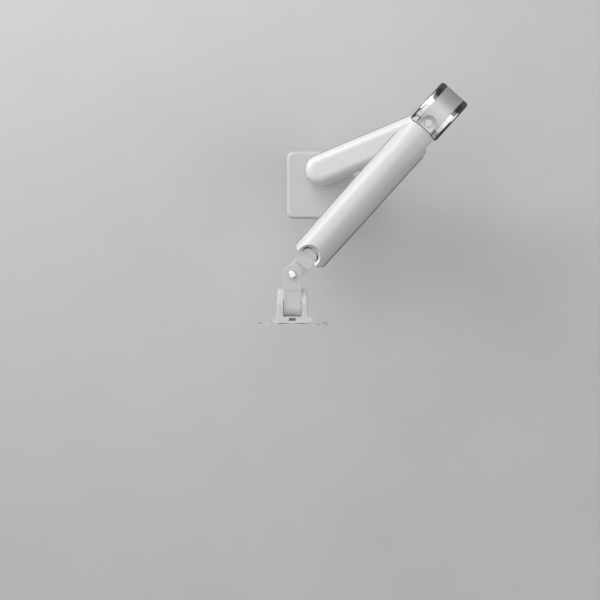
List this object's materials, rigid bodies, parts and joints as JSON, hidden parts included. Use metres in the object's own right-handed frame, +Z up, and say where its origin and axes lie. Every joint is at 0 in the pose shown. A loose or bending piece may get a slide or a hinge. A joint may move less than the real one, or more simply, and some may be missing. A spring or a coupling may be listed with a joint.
{
  "type": "monitor arm",
  "caption": "Desk-clamp monitor arm: clamped base, swivelling lower arm, sprung upper arm with polished elbow caps, and a tilting, rotating screen plate.",
  "frame": {"origin": "on the base pan axis, at the desk top that the base pad rests on", "axes": "+Z up, +Y towards the back edge of the desk, -Y towards the user and the screen, +X to the user's right"},
  "size_m": [0.4809, 0.5539, 0.405],
  "materials": {
    "white_paint": "satin white powder coat",
    "white_cast": "cast aluminium under satin white paint",
    "white_plastic": "smooth white",
    "silver": "satin silver grey",
    "chrome": "polished",
    "steel": "zinc plated",
    "brass": "turned",
    "black_paint": "black",
    "black_plastic": "moulded",
    "bush_plastic": "low-friction plastic",
    "rubber": "matte"
  },
  "bodies": {
    "base": {"base_pad": "rubber", "base_plate": "steel", "base_cover": "white_plastic", "base_post": "white_paint", "post_screws": "steel", "clamp_bracket": "white_paint", "clamp_bolts": "steel", "clamp_nut": "steel"},
    "clamp_pad": {"clamp_pressure_plate": "steel", "clamp_pressure_pad": "rubber"},
    "clamp_spindle": {"clamp_spindle": "steel", "clamp_knob": "black_plastic"},
    "lower_arm": {"lower_arm_casting": "white_cast", "lower_arm_trim": "chrome", "lower_arm_cable_cover": "white_plastic", "base_bushes": "bush_plastic", "pan_lock_screw": "steel", "elbow_bushes": "bush_plastic"},
    "elbow": {"elbow_bracket": "white_cast", "elbow_post": "steel", "elbow_retainer": "steel", "elbow_retainer_screw": "steel", "elbow_cover": "silver", "elbow_badge": "chrome", "lift_axle": "steel", "lift_axle_clips": "steel", "link_rear_pin": "steel", "spring_pin": "steel"},
    "upper_arm": {"upper_arm_frame": "white_cast", "upper_arm_shell": "white_plastic", "upper_arm_tray": "white_plastic", "upper_arm_trim": "chrome", "tray_screws": "steel", "drum_cap_right": "chrome", "drum_cap_left": "chrome", "lift_bushes": "bush_plastic", "front_pivot_pin": "steel"},
    "tension_carriage": {"tension_nut": "brass", "gas_cylinder": "black_paint"},
    "tension_screw": {"tension_screw": "steel"},
    "piston_rod": {"piston_rod": "steel"},
    "lower_link": {"lower_link": "white_paint"},
    "front_bracket": {"front_bracket": "white_cast", "front_bush": "bush_plastic", "link_front_pin": "steel", "head_bush": "bush_plastic"},
    "pan_link": {"pan_link": "white_cast", "head_pivot_screw": "chrome", "head_pivot_washers": "steel", "head_pivot_nut": "steel", "tilt_bush": "bush_plastic"},
    "tilt_bracket": {"tilt_bracket": "white_cast", "tilt_bolt": "steel", "tilt_nut": "steel", "tilt_washers": "steel"},
    "screen_plate": {"screen_plate": "white_paint", "screen_side_screws": "steel", "screen_pivot_bolt": "steel", "screen_pivot_nut": "steel", "screen_washers": "bush_plastic"}
  },
  "joints": [
    {"name": "base_pan", "type": "hinge", "parent": "base", "child": "lower_arm", "pos_m": [0, 0, 0.06], "axis": [0, 0, 1], "range_deg": [-155, 155]},
    {"name": "elbow_pan", "type": "hinge", "parent": "lower_arm", "child": "elbow", "pos_m": [0.24614, 0.10347, 0.102], "axis": [0, 0, 1], "range_deg": [-205.2, 154.8]},
    {"name": "arm_lift", "type": "hinge", "parent": "elbow", "child": "upper_arm", "pos_m": [0.27023, 0.13022, 0.212], "axis": [-0.7431, 0.6691, 0], "range_deg": [-15, 25]},
    {"name": "lower_link_swing", "type": "hinge", "parent": "elbow", "child": "lower_link", "pos_m": [0.27023, 0.13022, 0.178], "axis": [-0.7431, 0.6691, 0], "range_deg": [-15.01, 25.01]},
    {"name": "front_bracket_level", "type": "hinge", "parent": "upper_arm", "child": "front_bracket", "pos_m": [-0.02118, -0.19342, 0.212], "axis": [-0.7431, 0.6691, 0], "range_deg": [-25.01, 15.01]},
    {"name": "spring_stroke", "type": "slide", "parent": "upper_arm", "child": "piston_rod", "axis": [-0.6691, -0.7431, 0], "range_m": [-0.0095, 0.0058]},
    {"name": "tension_screw_turn", "type": "hinge", "parent": "upper_arm", "child": "tension_screw", "pos_m": [0.00525, -0.16406, 0.191], "axis": [-0.6691, -0.7431, 0], "range_deg": [-1440.5, 1440.5]},
    {"name": "tension_travel", "type": "slide", "parent": "upper_arm", "child": "tension_carriage", "axis": [-0.6691, -0.7431, 0], "range_m": [-0.005, 0.005]},
    {"name": "head_pan", "type": "hinge", "parent": "front_bracket", "child": "pan_link", "pos_m": [-0.06514, -0.24224, 0.212], "axis": [0, 0, 1], "range_deg": [-132, 48]},
    {"name": "head_tilt", "type": "hinge", "parent": "pan_link", "child": "tilt_bracket", "pos_m": [-0.06514, -0.31624, 0.212], "axis": [-1, 0, 0], "range_deg": [-5, 70]},
    {"name": "screen_rotate", "type": "hinge", "parent": "tilt_bracket", "child": "screen_plate", "pos_m": [-0.06514, -0.35424, 0.212], "axis": [0, -1, 0], "range_deg": [-90, 90]},
    {"name": "clamp_screw_turn", "type": "hinge", "parent": "clamp_pad", "child": "clamp_spindle", "pos_m": [0, -0.01, -0.08], "axis": [0, 0, 1], "range_deg": [-6300, 2700]},
    {"name": "clamp_travel", "type": "slide", "parent": "base", "child": "clamp_pad", "axis": [0, 0, 1], "range_m": [-0.035, 0.015]}
  ],
  "couplings": [
    {"joint": "lower_link_swing", "follows": "arm_lift", "ratio": 1},
    {"joint": "front_bracket_level", "follows": "arm_lift", "ratio": -1},
    {"joint": "spring_stroke", "follows": "arm_lift", "m_per_rad": -0.0214},
    {"joint": "tension_screw_turn", "follows": "tension_travel", "rad_per_m": -5026.5},
    {"joint": "clamp_travel", "follows": "clamp_screw_turn", "m_per_rad": 0.00031831}
  ]
}
